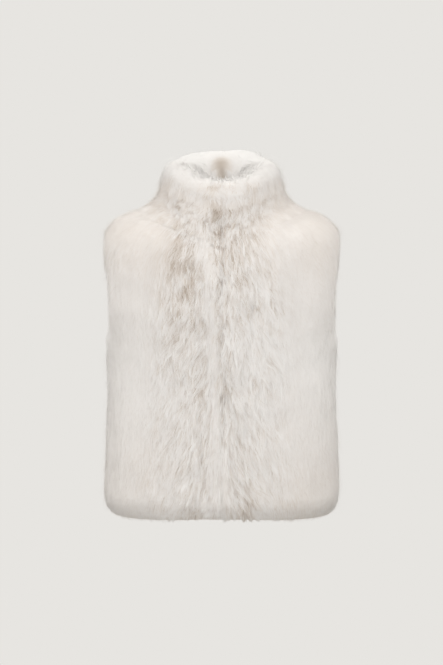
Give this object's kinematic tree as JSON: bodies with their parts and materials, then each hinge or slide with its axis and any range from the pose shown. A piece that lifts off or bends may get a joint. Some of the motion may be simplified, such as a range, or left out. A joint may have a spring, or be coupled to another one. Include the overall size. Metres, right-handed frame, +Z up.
{
  "type": "fur vest",
  "caption": "Sleeveless hip-length vest of long fur with a tall standing fur collar, filled out and open at neck, armholes and hem.",
  "frame": {"origin": "midway between the two points where the shoulders pass into the collar, on the neckline seam, where the wearer's shoulders hold the vest", "axes": "+Z up along the wearer, -Y towards the front, +X towards the wearer's left"},
  "size_m": [0.4752, 0.3223, 0.721],
  "materials": {
    "fur": "long soft fur, ivory with beige roots",
    "collar_fur": "long soft fur, ivory with beige roots"
  },
  "bodies": {
    "root": {"front_left": "fur", "front_right": "fur", "back": "fur", "collar": "collar_fur"}
  },
  "joints": []
}
